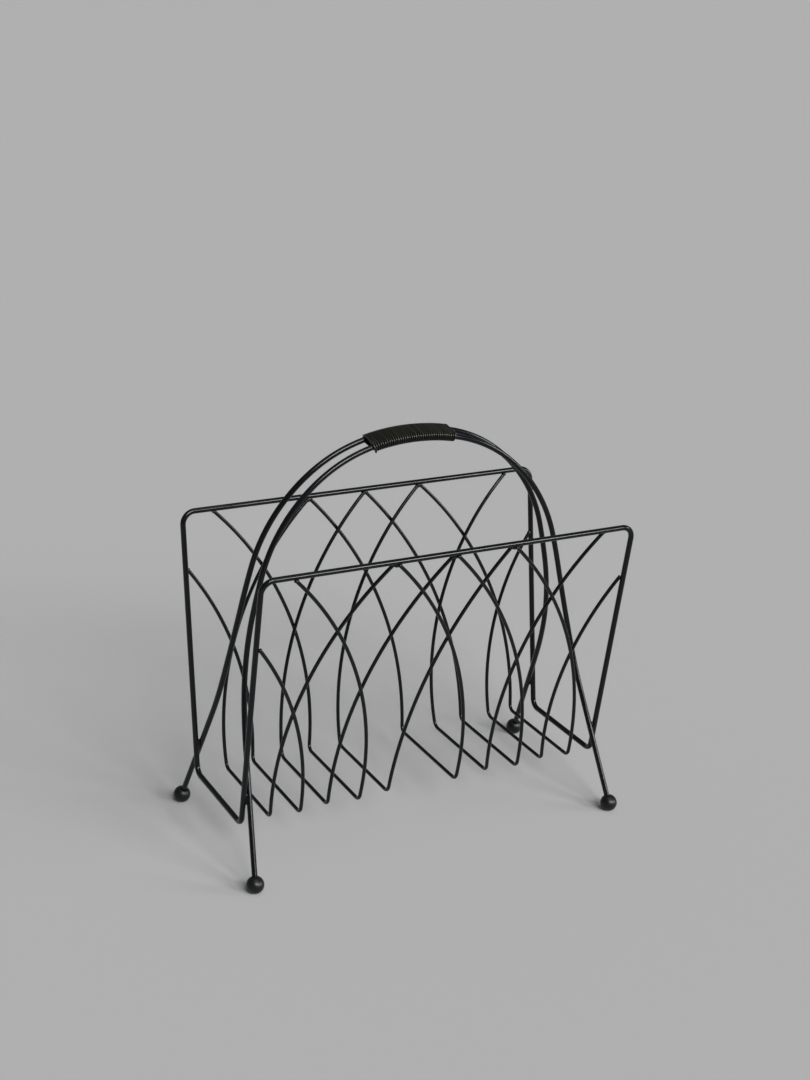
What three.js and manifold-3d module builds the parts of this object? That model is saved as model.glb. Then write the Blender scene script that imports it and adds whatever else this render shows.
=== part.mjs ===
// A magazine basket of bent and welded round wire. An open cradle hangs between two hoops, which
// meet under a wound grip and splay out to four ball feet.
// Millimetres, +Z up. The origin is on the floor below the middle of the basket. X runs along the
// rails, and Y from the front panel to the back one. Wires are placed by their centre lines.
import * as THREE from 'three';
import { mergeVertices } from 'three/addons/utils/BufferGeometryUtils.js';
import Module from 'manifold-3d';

const wasm = await Module();
wasm.setup();

// Wire stock, and the gap left between faces that a weld or a push fit closes
const frameWireRadius = 3;
const basketWireRadius = 2;
const weldGap = 0.3;

// Rim frame
const frameHalfLength = 216;
const railHeight = 345;
const railHalfSpread = 106.5;
const railCornerRadius = 14;
const baseHeight = 56.5;
const baseHalfWidth = 62;
const baseBendRadius = 11;
const buttWeldRadius = 3.2;
const buttWeldLength = 4;

// Basket wires, odd ones counted from the left end and even ones from the right. Their places are
// shares of the frame's half length: where they cross the base, and where the first four end on a
// rail. The last ends on an upright, higher up with its first arm than with its second. Each wire
// is bent by hand, so its two arms set off at a few degrees of their own.
const wireBendRadius = 8;
const firstJointDrop = 58.5;
const secondJointDrop = 71.5;
const wireRailShares = [-0.311, 0.008, 0.323, 0.848];
const oddWireBaseShares = [-0.844, -0.536, -0.202, 0.37, 0.704];
const evenWireBaseShares = [-0.854, -0.54, -0.177, 0.373, 0.693];
const oddWireTilts = [[-2.1, -4.4], [0.4, -1.2], [3.9, -3.6], [-3.7, -7.4], [-6, -4.5]];
const evenWireTilts = [[-3, -1.1], [0, -1], [-3.2, -4.1], [-6.7, -5.3], [-4.1, -1.4]];

// Hoops. The back arch stands a little higher than the front one, and both are pressed slightly
// flat under the grip.
const hoopHeight = 443.5;
const backHoopRise = 2.5;
const crownFlattening = 3.2;
const crownFlatReach = 115;
const hoopHalfGap = 9.5;
const archLean = THREE.MathUtils.degToRad(1.7);
const crownInset = 8.8;
const shoulderRadius = 850;
const kneeHeight = 198;
const kneeRadius = 357;

// Ball feet
const footOverhang = 2;
const footHalfWidth = 105;
const ballRadius = 9.5;
const ballFlatRadius = 3.8;
const cutOverrun = 2;

// Grip winding
const gripLength = 100;
const gripShift = -3;
const gripLoops = 24;
const cordThickness = 2.7;
const cordSelfGap = 0.7;

// Faces and steps
const frameWireSides = 10;
const basketWireSides = 8;
const bendSteps = 4;
const armSteps = 7;
const crownSteps = 24;
const legSteps = 9;
const ballSegments = 20;
const ballRings = 12;
const boreSides = 16;
const cordSides = 6;
const loopSteps = 24;
const cutFaceSteps = 72;
const leanPasses = 6;

const alongX = new THREE.Vector3(1, 0, 0);
const alongY = new THREE.Vector3(0, 1, 0);

// A wire's path, given ring by ring: a straight run needs no rings of its own, and a bend has as
// many as it asks for.
class BentWire extends THREE.Curve {
  constructor(rings) {
    super();
    this.rings = rings;
  }

  ringAt(share) {
    return this.rings[Math.round(share * (this.rings.length - 1))];
  }

  getPoint(share) {
    return this.ringAt(share).point.clone();
  }

  getPointAt(share) {
    return this.getPoint(share);
  }

  getTangent(share) {
    return this.ringAt(share).tangent.clone();
  }

  getTangentAt(share) {
    return this.getTangent(share);
  }
}

function wireAlong(rings, radius, sides) {
  const corners = Array.from({ length: sides }, (_, side) => {
    const turn = (side / sides) * 2 * Math.PI;
    return new THREE.Vector2(radius * Math.cos(turn), radius * Math.sin(turn));
  });
  return new THREE.ExtrudeGeometry(new THREE.Shape(corners), {
    steps: rings.length - 1,
    bevelEnabled: false,
    extrudePath: new BentWire(rings),
  });
}

// Rings on an arc that starts on the side `start` of its centre and turns towards `heading`
function arcRings(centre, start, heading, radius, sweep, steps) {
  return Array.from({ length: steps + 1 }, (_, step) => {
    const turn = (sweep * step) / steps;
    const point = centre.clone();
    point.addScaledVector(start, radius * Math.cos(turn));
    point.addScaledVector(heading, radius * Math.sin(turn));
    const tangent = heading.clone().multiplyScalar(Math.cos(turn));
    tangent.addScaledVector(start, -Math.sin(turn));
    return { point, tangent };
  });
}

function tangentLength(into, out, radius) {
  return radius * Math.tan(into.angleTo(out) / 2);
}

// Rings round the bend where a wire comes to a corner along `into` and leaves it along `out`
function bendRings(corner, into, out, radius) {
  const inner = out.clone().addScaledVector(into, -out.dot(into)).normalize();
  const centre = corner.clone().addScaledVector(into, -tangentLength(into, out, radius));
  centre.addScaledVector(inner, radius);
  return arcRings(centre, inner.clone().negate(), into, radius, into.angleTo(out), bendSteps);
}

function reversed(rings) {
  return rings.map(({ point, tangent }) => ({ point, tangent: tangent.clone().negate() })).reverse();
}

function flipped(rings, flip) {
  return rings.map(({ point, tangent }) => ({
    point: point.clone().multiply(flip),
    tangent: tangent.clone().multiply(flip),
  }));
}

function mirroredInX(rings) {
  return flipped(rings, new THREE.Vector3(-1, 1, 1));
}

function halfTurned(rings) {
  return flipped(rings, new THREE.Vector3(-1, -1, 1));
}

function solidOf(geometry) {
  const plain = geometry.clone();
  plain.deleteAttribute('normal');
  plain.deleteAttribute('uv');
  const closed = mergeVertices(plain);
  return new wasm.Manifold(new wasm.Mesh({
    numProp: 3,
    vertProperties: Float32Array.from(closed.attributes.position.array),
    triVerts: Uint32Array.from(closed.index.array),
  }));
}

function geometryOf(solid) {
  const { vertProperties, triVerts } = solid.getMesh();
  const geometry = new THREE.BufferGeometry();
  geometry.setAttribute('position', new THREE.BufferAttribute(vertProperties, 3));
  geometry.setIndex(new THREE.BufferAttribute(triVerts, 1));
  geometry.computeVertexNormals();
  return geometry;
}

// The two panels lean outwards from the base. side is -1 for the front panel and 1 for the back.
const panelRise = railHeight - baseHeight;
const panelFlare = railHalfSpread - baseHalfWidth;
const panelHeight = Math.hypot(panelRise, panelFlare);

function panelUp(side) {
  return new THREE.Vector3(0, side * panelFlare, panelRise).divideScalar(panelHeight);
}

// Rim frame: one wire round both rails, the four uprights and the two base bars, closed by a butt
// weld in the middle of the left base bar.
function rimFrame() {
  const corners = [
    [-1, 1, false], [-1, 1, true], [1, 1, true], [1, 1, false],
    [1, -1, false], [1, -1, true], [-1, -1, true], [-1, -1, false],
  ].map(([end, side, atRail]) => ({
    radius: atRail ? railCornerRadius : baseBendRadius,
    point: new THREE.Vector3(
      end * frameHalfLength,
      side * (atRail ? railHalfSpread : baseHalfWidth),
      atRail ? railHeight : baseHeight,
    ),
  }));
  const start = new THREE.Vector3(-frameHalfLength, weldGap / 2, baseHeight);
  const finish = new THREE.Vector3(-frameHalfLength, -weldGap / 2, baseHeight);
  const stops = [start, ...corners.map(({ point }) => point), finish];
  const bends = corners.flatMap(({ point, radius }, place) => {
    const into = point.clone().sub(stops[place]).normalize();
    const out = stops[place + 2].clone().sub(point).normalize();
    return bendRings(point, into, out, radius);
  });
  const rings = [{ point: start, tangent: alongY }, ...bends, { point: finish, tangent: alongY }];
  const weld = new THREE.CylinderGeometry(
    buttWeldRadius, buttWeldRadius, buttWeldLength, frameWireSides,
  ).translate(-frameHalfLength, 0, baseHeight);
  return geometryOf(solidOf(wireAlong(rings, frameWireRadius, frameWireSides)).add(solidOf(weld)));
}

// How far short of a frame wire's centre line a basket wire must be cut square, so that its end
// clears the frame wire by the weld gap. layer is how far the basket wire lies out of the frame's
// plane, and slope the share of the cut face that points at the frame wire.
function seatDepth(layer, slope) {
  const reach = frameWireRadius + weldGap;
  const turns = Array.from({ length: cutFaceSteps }, (_, step) => (step / cutFaceSteps) * 2 * Math.PI);
  return Math.max(...turns.map((turn) => {
    const aside = Math.min(Math.abs(layer + basketWireRadius * Math.cos(turn)), reach);
    return Math.sqrt(reach ** 2 - aside ** 2) + basketWireRadius * slope * Math.sin(turn);
  }));
}

// One arm of a basket wire, from the end of its base bend: an arc that sets off up the panel, tilted
// towards its joint, and leans over until it meets the rail, or an upright where railX is null.
function armRings(side, base, layer, railX, tilt) {
  const up = panelUp(side);
  const heading = up.clone().multiplyScalar(Math.cos(tilt)).addScaledVector(alongX, Math.sin(tilt));
  const start = alongX.clone().multiplyScalar(-Math.cos(tilt)).addScaledVector(up, Math.sin(tilt));
  const bendLength = tangentLength(heading, new THREE.Vector3(0, side, 0), wireBendRadius);
  const meetsRail = railX !== null;
  const jointDrop = side < 0 ? firstJointDrop : secondJointDrop;
  const jointRise = meetsRail ? panelRise : panelRise - jointDrop;
  const run = (meetsRail ? railX : frameHalfLength) - base.x - bendLength * Math.sin(tilt);
  const rise = (jointRise * panelHeight - layer * panelFlare) / panelRise
    - bendLength * Math.cos(tilt);
  const chordTilt = Math.atan2(run, rise);
  const radius = Math.hypot(run, rise) / (2 * Math.sin(chordTilt - tilt));
  const arrival = 2 * chordTilt - tilt;
  const depth = seatDepth(layer, meetsRail ? Math.sin(arrival) : Math.cos(arrival));
  const endTilt = meetsRail
    ? Math.asin(Math.sin(tilt) + (rise - depth) / radius)
    : Math.acos(Math.cos(tilt) - (run - depth) / radius);
  const centre = base.clone().addScaledVector(heading, bendLength).addScaledVector(start, -radius);
  return arcRings(centre, start, heading, radius, endTilt - tilt, armSteps);
}

// A basket wire is one piece: down the front panel, across the base and up the back panel. Odd
// wires lean right and even ones left, each set in a layer of its own so that they pass at the
// crossings. This makes an odd wire; an even one is made so too, and then turned half a turn.
function basketWireRings(layer, baseX, railX, tilts) {
  const halfWidth = baseHalfWidth + (layer * panelHeight) / panelRise;
  const front = new THREE.Vector3(baseX, -halfWidth, baseHeight);
  const back = new THREE.Vector3(baseX, halfWidth, baseHeight);
  const [firstTilt, secondTilt] = tilts.map(THREE.MathUtils.degToRad);
  const frontArm = reversed(armRings(-1, front, layer, railX, firstTilt));
  const backArm = armRings(1, back, layer, railX, secondTilt);
  return [
    ...frontArm,
    ...bendRings(front, frontArm.at(-1).tangent, alongY, wireBendRadius).slice(1),
    ...bendRings(back, alongY, backArm[0].tangent, wireBendRadius),
    ...backArm.slice(1),
  ];
}

const wireCount = oddWireBaseShares.length + evenWireBaseShares.length;

function basketWire(number) {
  const odd = number % 2 === 1;
  const place = ((odd ? number : wireCount + 1 - number) - 1) / 2;
  const layer = (basketWireRadius + weldGap / 2) * (odd ? -1 : 1);
  const baseX = (odd ? oddWireBaseShares : evenWireBaseShares)[place] * frameHalfLength;
  const onRail = place < wireRailShares.length;
  const railX = onRail ? wireRailShares[place] * frameHalfLength : null;
  const tilts = (odd ? oddWireTilts : evenWireTilts)[place];
  const rings = basketWireRings(layer, baseX, railX, tilts);
  return wireAlong(odd ? rings : halfTurned(rings), basketWireRadius, basketWireSides);
}

// Hoops, seen from the side: the arches lean apart, and below the knee the legs splay out in a
// straight line to the ball centres.
const ballHeight = Math.sqrt(ballRadius ** 2 - ballFlatRadius ** 2);
const kneeHalfGap = hoopHalfGap + (hoopHeight - kneeHeight) * Math.tan(archLean);
const legSplay = Math.atan((footHalfWidth - kneeHalfGap) / (kneeHeight - ballHeight));
const kneeTangent = kneeRadius * Math.tan((legSplay - archLean) / 2);
const kneeTop = kneeHeight + kneeTangent * Math.cos(archLean);
const kneeBottom = kneeHeight - kneeTangent * Math.cos(legSplay);

function hoopSide(height) {
  if (height >= kneeTop) {
    const slope = -Math.tan(archLean);
    return { offset: hoopHalfGap - (hoopHeight - height) * slope, slope };
  }
  if (height <= kneeBottom) {
    const slope = -Math.tan(legSplay);
    return { offset: footHalfWidth + (height - ballHeight) * slope, slope };
  }
  const centreOffset = kneeHalfGap - kneeTangent * Math.sin(archLean) + kneeRadius * Math.cos(archLean);
  const fall = height - (kneeTop + kneeRadius * Math.sin(archLean));
  const across = Math.sqrt(kneeRadius ** 2 - fall ** 2);
  return { offset: centreOffset - across, slope: fall / across };
}

// Each leg passes inside the upright that it is welded to. Its lean towards the basket's middle
// is the one that brings it beside the upright with the weld gap between them.
const footHalfLength = frameHalfLength + footOverhang;
const splaySlope = Math.tan(legSplay);
const flareSlope = panelFlare / panelRise;
const crossingHeight = (footHalfWidth + ballHeight * splaySlope - baseHalfWidth
  + baseHeight * flareSlope) / (splaySlope + flareSlope);

function legLeanSlope() {
  const apart = 2 * frameWireRadius + weldGap;
  const crossing = splaySlope + flareSlope;
  let slope = 0;
  for (let pass = 0; pass < leanPasses; pass += 1) {
    const spread = Math.hypot(crossing, slope, slope * flareSlope) / crossing;
    const legX = frameHalfLength - apart * spread;
    slope = (footHalfLength - legX) / (crossingHeight - ballHeight);
  }
  return slope;
}

// Hoops, seen from the front: a crown arc, a flatter shoulder arc on each side and straight legs.
// The line of a straight leg passes the crown's circle at a distance of crownInset.
const leanSlope = legLeanSlope();
const legLean = Math.atan(leanSlope);

function archOf(topHeight) {
  const crownRadius = (footHalfLength * Math.cos(legLean)
    - (topHeight - ballHeight) * Math.sin(legLean) - crownInset) / (1 - Math.sin(legLean));
  const crownCentreHeight = topHeight - crownRadius;
  const shoulderSpan = shoulderRadius - crownRadius;
  const crownEnd = legLean + Math.acos((shoulderSpan - crownInset) / shoulderSpan);
  const shoulderCentreHeight = crownCentreHeight - shoulderSpan * Math.sin(crownEnd);
  return {
    crownRadius,
    crownCentreHeight,
    crownEnd,
    shoulderCentreX: -shoulderSpan * Math.cos(crownEnd),
    shoulderCentreHeight,
    shoulderTop: crownCentreHeight + crownRadius * Math.sin(crownEnd),
    shoulderBottom: shoulderCentreHeight + shoulderRadius * Math.sin(legLean),
  };
}

const frontArch = archOf(hoopHeight);
const backArch = archOf(hoopHeight + backHoopRise);

// How far the flattening lowers the crown at a place along X, and how fast that changes there
function flatteningAt(x) {
  if (Math.abs(x) > crownFlatReach) {
    return { fall: 0, slope: 0 };
  }
  const turn = (Math.PI * x) / crownFlatReach;
  return {
    fall: (crownFlattening * (1 + Math.cos(turn))) / 2,
    slope: (-crownFlattening * Math.PI * Math.sin(turn)) / (2 * crownFlatReach),
  };
}

function crownRing(side, angle) {
  const { crownRadius, crownCentreHeight } = side < 0 ? frontArch : backArch;
  const x = crownRadius * Math.cos(angle);
  const flattening = flatteningAt(x);
  const height = crownCentreHeight + crownRadius * Math.sin(angle) - flattening.fall;
  const { offset, slope } = hoopSide(height);
  const descent = Math.cos(angle) + flattening.slope * Math.sin(angle);
  return {
    point: new THREE.Vector3(x, side * offset, height),
    tangent: new THREE.Vector3(Math.sin(angle), -side * slope * descent, -descent).normalize(),
  };
}

function legRing(side, height) {
  const { shoulderCentreX, shoulderCentreHeight, shoulderBottom } = side < 0 ? frontArch : backArch;
  const { offset, slope } = hoopSide(height);
  let x = footHalfLength - (height - ballHeight) * leanSlope;
  let frontSlope = -leanSlope;
  if (height > shoulderBottom) {
    const above = height - shoulderCentreHeight;
    const across = Math.sqrt(shoulderRadius ** 2 - above ** 2);
    x = shoulderCentreX + across;
    frontSlope = -above / across;
  }
  return {
    point: new THREE.Vector3(x, side * offset, height),
    tangent: new THREE.Vector3(-frontSlope, -side * slope, -1).normalize(),
  };
}

function hoop(side) {
  const { crownEnd, shoulderTop, shoulderBottom } = side < 0 ? frontArch : backArch;
  const crown = Array.from({ length: crownSteps }, (_, step) => (
    crownRing(side, Math.PI / 2 + ((crownEnd - Math.PI / 2) * step) / crownSteps)
  ));
  const lastBend = Math.min(kneeBottom, shoulderBottom);
  const leg = Array.from({ length: legSteps + 1 }, (_, step) => (
    legRing(side, shoulderTop + ((lastBend - shoulderTop) * step) / legSteps)
  ));
  const right = [...crown, ...leg, legRing(side, ballHeight)];
  const left = reversed(mirroredInX(right));
  return wireAlong([...left.slice(0, -1), ...right], frameWireRadius, frameWireSides);
}

// A ball foot, about its own centre: bored for the leg that comes down to its centre, and with a
// flat where it stands.
function footBall(end, side) {
  const legWay = new THREE.Vector3(-end * leanSlope, -side * splaySlope, 1).normalize();
  const boreRadius = (frameWireRadius + weldGap) / Math.cos(Math.PI / boreSides);
  const boreLength = ballRadius + weldGap + cutOverrun;
  const bore = new THREE.CylinderGeometry(boreRadius, boreRadius, boreLength, boreSides)
    .translate(0, boreLength / 2 - weldGap, 0)
    .applyQuaternion(new THREE.Quaternion().setFromUnitVectors(alongY, legWay));
  const floor = new THREE.BoxGeometry(2 * ballRadius, 2 * ballRadius, ballRadius)
    .translate(0, 0, -ballHeight - ballRadius / 2);
  const ball = new THREE.SphereGeometry(ballRadius, ballSegments, ballRings).rotateX(Math.PI / 2);
  return geometryOf(solidOf(ball).subtract(solidOf(bore)).subtract(solidOf(floor)));
}

// Grip winding: one cord in a row of loops round both hoop wires at the top of the arch. Its
// centre line is a stadium about the two wires, and its ends lie straight across them.
const turnSteps = loopSteps / 2 - 2;
const cordInside = (frameWireRadius + weldGap) / Math.cos(Math.PI / (2 * turnSteps));
const cordLift = cordInside + (cordThickness / 2) * Math.sin(Math.PI / 3);
const gripReach = cordLift + cordThickness / 2;
const gripPitch = gripLength / (gripLoops + 1);
const cordWidth = (gripPitch * (frontArch.crownRadius - gripReach)) / frontArch.crownRadius
  - cordSelfGap;

// A place on the loop, from the middle of the underside: wire is the hoop it turns round, -1 for
// the front, 1 for the back and 0 between them, and turn is the angle of its outward normal.
function loopPlace(step) {
  const half = loopSteps / 2;
  const inHalf = step % half;
  const secondHalf = step % loopSteps >= half;
  const turn = Math.PI * (Math.max(inHalf - 1, 0) / turnSteps + (secondHalf ? 1 : 0));
  const wire = secondHalf ? 1 : -1;
  return { turn, wire: inHalf === 0 ? 0 : wire };
}

function gripRing(step) {
  const steps = gripLoops * loopSteps;
  const advance = THREE.MathUtils.clamp((step - 1) / (steps - 2), 0, 1);
  const reach = gripShift + (advance - 1 / 2) * gripLoops * gripPitch;
  const angle = Math.PI / 2 - reach / frontArch.crownRadius;
  const front = crownRing(-1, angle);
  const back = crownRing(1, angle);
  const across = back.point.clone().sub(front.point).divideScalar(2);
  const aside = across.clone().normalize();
  const onward = front.tangent.clone().add(back.tangent).addScaledVector(
    aside,
    -aside.dot(front.tangent) - aside.dot(back.tangent),
  ).normalize();
  const outward = onward.clone().cross(aside);
  const { turn, wire } = loopPlace(step);
  const normal = aside.clone().multiplyScalar(-Math.sin(turn));
  normal.addScaledVector(outward, -Math.cos(turn));
  const middle = front.point.clone().add(across).addScaledVector(across, wire);
  middle.addScaledVector(normal, cordLift);
  return Array.from({ length: cordSides }, (_, side) => {
    const around = (side / cordSides) * 2 * Math.PI;
    return middle.clone()
      .addScaledVector(onward, (-cordWidth / 2) * Math.cos(around))
      .addScaledVector(normal, (cordThickness / 2) * Math.sin(around));
  });
}

// The least distance between corners of the cord where a loop passes the next one
function leastSelfGap(rings) {
  let least = Infinity;
  rings.forEach((ring, index) => {
    rings.slice(index + loopSteps / 2, index + 2 * loopSteps).forEach((other) => {
      ring.forEach((corner) => {
        other.forEach((far) => {
          least = Math.min(least, corner.distanceToSquared(far));
        });
      });
    });
  });
  return Math.sqrt(least);
}

function gripWinding() {
  const rings = Array.from({ length: gripLoops * loopSteps + 1 }, (_, step) => gripRing(step));
  console.log(`grip winding: least gap to itself ${leastSelfGap(rings).toFixed(3)} mm`);
  const faces = [];
  for (let ring = 0; ring < rings.length - 1; ring += 1) {
    for (let side = 0; side < cordSides; side += 1) {
      const next = (side + 1) % cordSides;
      const here = ring * cordSides;
      const there = here + cordSides;
      faces.push(here + side, here + next, there + next);
      faces.push(here + side, there + next, there + side);
    }
  }
  const last = (rings.length - 1) * cordSides;
  for (let side = 1; side < cordSides - 1; side += 1) {
    faces.push(0, side + 1, side);
    faces.push(last, last + side, last + side + 1);
  }
  const geometry = new THREE.BufferGeometry();
  const places = rings.flat().flatMap((corner) => corner.toArray());
  geometry.setAttribute('position', new THREE.Float32BufferAttribute(places, 3));
  geometry.setIndex(faces);
  geometry.computeVertexNormals();
  return geometry;
}

const paintedWire = { color: 0x17181a, roughness: 0.38, metalness: 0.2 };
const satinBall = { color: 0x121212, roughness: 0.42, metalness: 0 };
const darkCord = { color: 0x1d1b14, roughness: 0.45, metalness: 0 };

const group = new THREE.Group();

function addPiece(name, geometry, finish) {
  const mesh = new THREE.Mesh(geometry, new THREE.MeshStandardMaterial(finish));
  mesh.name = name;
  group.add(mesh);
  return mesh;
}

addPiece('rim_frame', rimFrame(), paintedWire);
for (let number = 1; number <= wireCount; number += 1) {
  addPiece(`basket_wire_${String(number).padStart(2, '0')}`, basketWire(number), paintedWire);
}
for (const [sideName, side] of [['front', -1], ['back', 1]]) {
  addPiece(`${sideName}_hoop`, hoop(side), paintedWire);
  for (const [endName, end] of [['left', -1], ['right', 1]]) {
    const ball = addPiece(`foot_ball_${sideName}_${endName}`, footBall(end, side), satinBall);
    ball.position.set(end * footHalfLength, side * footHalfWidth, ballHeight);
  }
}
addPiece('grip_winding', gripWinding(), darkCord);

export default group;
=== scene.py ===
"""Finish for a magazine basket of bent and welded wire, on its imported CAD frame.

The wires, the hoops and the rim are drawn again as smooth round bars along the centre lines of
their CAD nodes, with weld beads, turned ball feet and a grip of close-wound cord. Metres, +Z up.
"""

import math
from itertools import combinations

import bmesh
import bpy
from mathutils import Matrix, Vector
from mathutils.geometry import interpolate_bezier, intersect_line_line


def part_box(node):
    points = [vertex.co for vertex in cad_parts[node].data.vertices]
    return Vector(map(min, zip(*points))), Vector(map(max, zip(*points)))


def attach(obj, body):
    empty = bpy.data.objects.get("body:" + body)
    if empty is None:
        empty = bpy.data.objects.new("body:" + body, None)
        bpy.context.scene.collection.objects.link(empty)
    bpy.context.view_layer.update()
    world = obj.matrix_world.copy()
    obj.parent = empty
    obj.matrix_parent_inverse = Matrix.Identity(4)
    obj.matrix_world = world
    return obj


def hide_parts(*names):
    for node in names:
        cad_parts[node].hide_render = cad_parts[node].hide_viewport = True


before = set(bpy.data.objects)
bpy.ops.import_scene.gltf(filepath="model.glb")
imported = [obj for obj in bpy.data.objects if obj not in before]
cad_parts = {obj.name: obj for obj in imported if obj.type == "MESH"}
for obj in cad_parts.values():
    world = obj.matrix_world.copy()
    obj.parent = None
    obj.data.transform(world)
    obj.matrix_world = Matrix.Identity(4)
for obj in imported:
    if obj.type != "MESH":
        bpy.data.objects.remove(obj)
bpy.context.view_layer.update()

bl_info = {
    "name": "Wire Magazine Basket",
    "version": (1, 0, 0),
    "blender": (4, 5, 0),
    "location": "3D View > Sidebar > Basket",
    "description": "Bars, welds, ball feet, wound grip and finishes of a wire magazine basket",
    "category": "Object",
}

MM = 0.001
BASKET_WIRES = [f"basket_wire_{number:02d}" for number in range(1, 11)]
HOOPS = ["front_hoop", "back_hoop"]
ENDS = ["left", "right"]
SIDES = ["front", "back"]

# How places on the CAD's wires are told apart
SAME_CORNER = 0.001 * MM
SAME_RADIUS = 0.01 * MM
FEWEST_SIDES = 8
STRAIGHT_TURN = math.radians(0.05)
BUTT_WELD_X = -200 * MM
BUTT_WELD_HALF_WIDTH = 10 * MM
PANEL_Y = 60 * MM
LEG_TOP = 150 * MM

# Points that list a curve from one ring of its CAD wire to the next
WIRE_POINTS = 8
HOOP_POINTS = 16
RIM_POINTS = 24
GRIP_LINE_STEPS = 12

# Which bars are welded: ends side by side share a bead, and wires that pass close get one
PAIR_REACH = 14 * MM
CROSSING_GAP = 5 * MM
CROSSING_SHIFT = 20 * MM
RIPPLE_SCALE = 420.0

# The cord's section, and its cut end, which leaves the last turn over a few steps
CORD_SIDES = 10
TAIL_STEPS = 5.0
TAIL_LEAN = 1.3

# A ball's lip: how far out of the bore and below the mouth its corners lie, in widths of the lip
LIP_SHARES = ((0.0, 0.9), (0.12, 0.35), (0.45, 0.05))
BALL_SEAM = 0.01 * MM
BAR_CREASE = math.radians(50)
BALL_CREASE = math.radians(40)

# Ramps of the finishes: the values between which they run, and what they give at each
DUST_SLOPE = (0.25, 0.95, 0.0, 1.0)
DUST_PATCHES = (0.35, 0.7, 0.25, 1.0)
DUST_ROUGHNESS = 0.9
# Specular tint of the paint and the balls: a painted bluish reflection, standing in for cool light
# on their gloss
PAINTED_COOL_REFLECTION_TINT = (0.94, 0.97, 1, 1)
# Crest ramp of the cord: painted shade, darkening the flanks of each turn and the grooves between
# the turns
GROOVE_PAINTED_SHADE = (0.3, 1.0, 0.1, 1.0)
TURN_STREAKS = (0.35, 0.65, 0.55, 1.5)
STREAKS_PER_TURN = 0.7
# Facing ramp of the cord: painted shade, darker where the cord faces down
UNDERSIDE_SHADE = (-0.1, 0.4, 0.25, 1.0)

# The stage in metres, radians and millimetres of film
FLOOR_RADIUS = 60
FLOOR_SIDES = 64
CAMERA_PLACE = (-0.8523, -1.5677, 0.9901)
CAMERA_YAW, CAMERA_PITCH, CAMERA_ROLL = 0.4963, 0.3586, -0.0435
CAMERA_REACH = 200
SENSOR_WIDTH = 36

# Each light's name, the way towards it, its spread in degrees and its strength
LIGHTS = [
    ("Far Left Soft Light", (-0.12, -0.78, 0.61), 15, 1.15),
    ("Left Soft Light", (0.12, -0.83, 0.54), 15, 1.15),
    ("Middle Soft Light", (0.46, -0.8, 0.38), 18, 1.5),
    ("Right Soft Light", (0.84, -0.49, 0.24), 18, 0.9),
    ("Top Soft Light", (0.1, -0.3, 0.95), 36, 0.35),
]


# Sizes and colours that a user would change


def length_property(name, description, default, least=0.0):
    """A length, shown in the scene's units."""
    return bpy.props.FloatProperty(
        name=name, description=description, default=default, min=least, unit="LENGTH"
    )


def count_property(name, description, default, least):
    """A number of sides, steps or turns."""
    return bpy.props.IntProperty(name=name, description=description, default=default, min=least)


def bead_property(name, description, default):
    """The three half sizes of a weld bead: along the bar, across and deep."""
    return bpy.props.FloatVectorProperty(
        name=name, description=description, default=default, subtype="TRANSLATION"
    )


def colour_property(name, description, default):
    """A colour without its alpha."""
    return bpy.props.FloatVectorProperty(
        name=name, description=description, default=default, subtype="COLOR", size=3
    )


class BarSizes(bpy.types.PropertyGroup):
    """Gauges of the wires, and how finely they are drawn"""

    frame_radius: length_property(
        "Frame wire radius", "Radius of the rim frame's and the hoops' wire", 3 * MM, 1 * MM
    )
    basket_radius: length_property(
        "Basket wire radius", "Radius of the wires of the two panels and the base", 2 * MM, 1 * MM
    )
    frame_sides: count_property("Frame wire sides", "Faces round a frame wire", 24, 8)
    basket_sides: count_property("Basket wire sides", "Faces round a basket wire", 18, 8)
    bend_steps: count_property("Bend steps", "Steps between two rings of the CAD wire", 5, 1)
    end_sink: length_property(
        "End sink",
        "How far a basket wire's end melts into the wire that it is welded to",
        1 * MM,
    )


class WeldSizes(bpy.types.PropertyGroup):
    """Sizes of the weld beads"""

    end_bead: bead_property(
        "End bead",
        "Half sizes of the bead at a basket wire's end: along the bar, across, deep",
        (2.8 * MM, 2.3 * MM, 1.9 * MM),
    )
    pair_bead: bead_property(
        "Pair bead",
        "Half sizes of the bead in the corner between two ends side by side",
        (4.2 * MM, 2.3 * MM, 2.9 * MM),
    )
    hoop_bead: bead_property(
        "Hoop bead",
        "Half sizes of the bead between a hoop and an upright",
        (6.5 * MM, 2.0 * MM, 2.0 * MM),
    )
    cross_bead: bead_property(
        "Crossing bead",
        "Half sizes of the spot weld where two basket wires cross",
        (2.1 * MM, 1.5 * MM, 0.9 * MM),
    )
    butt_bead: bead_property(
        "Butt bead",
        "Half sizes of the dressed weld that closes the rim frame",
        (2.2 * MM, 3.2 * MM, 3.2 * MM),
    )
    unevenness: length_property(
        "Bead unevenness", "How far a bead's surface wanders from an even one", 0.35 * MM
    )


class BallSizes(bpy.types.PropertyGroup):
    """Bore, lip and fineness of the ball feet"""

    bore_clearance: length_property(
        "Bore clearance", "Room round the leg in a ball's bore", 0.12 * MM
    )
    lip: length_property(
        "Lip", "Width of the rounded lip at the mouth of the bore", 0.55 * MM, 0.1 * MM
    )
    segments: count_property("Segments", "Faces round a ball", 48, 12)


class GripSizes(bpy.types.PropertyGroup):
    """The grip's winding and its cord"""

    length: length_property(
        "Length", "Length of the winding along the hoops' centre line", 100 * MM, 20 * MM
    )
    turns: count_property("Turns", "Turns of the cord", 38, 4)
    cord_radius: length_property(
        "Cord radius", "Half the width of the cord, along the hoops", 1.14 * MM, 0.2 * MM
    )
    cord_depth: bpy.props.FloatProperty(
        name="Cord depth",
        description="How much thicker than wide the cord is, where the turns press together",
        default=1.1,
        min=1,
    )
    clearance: length_property(
        "Clearance", "How far the cord rides off the hoops' wire", 0.14 * MM
    )
    tail_length: length_property(
        "Tail length", "Length of the cut end that stands out below the front hoop", 2 * MM
    )


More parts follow.
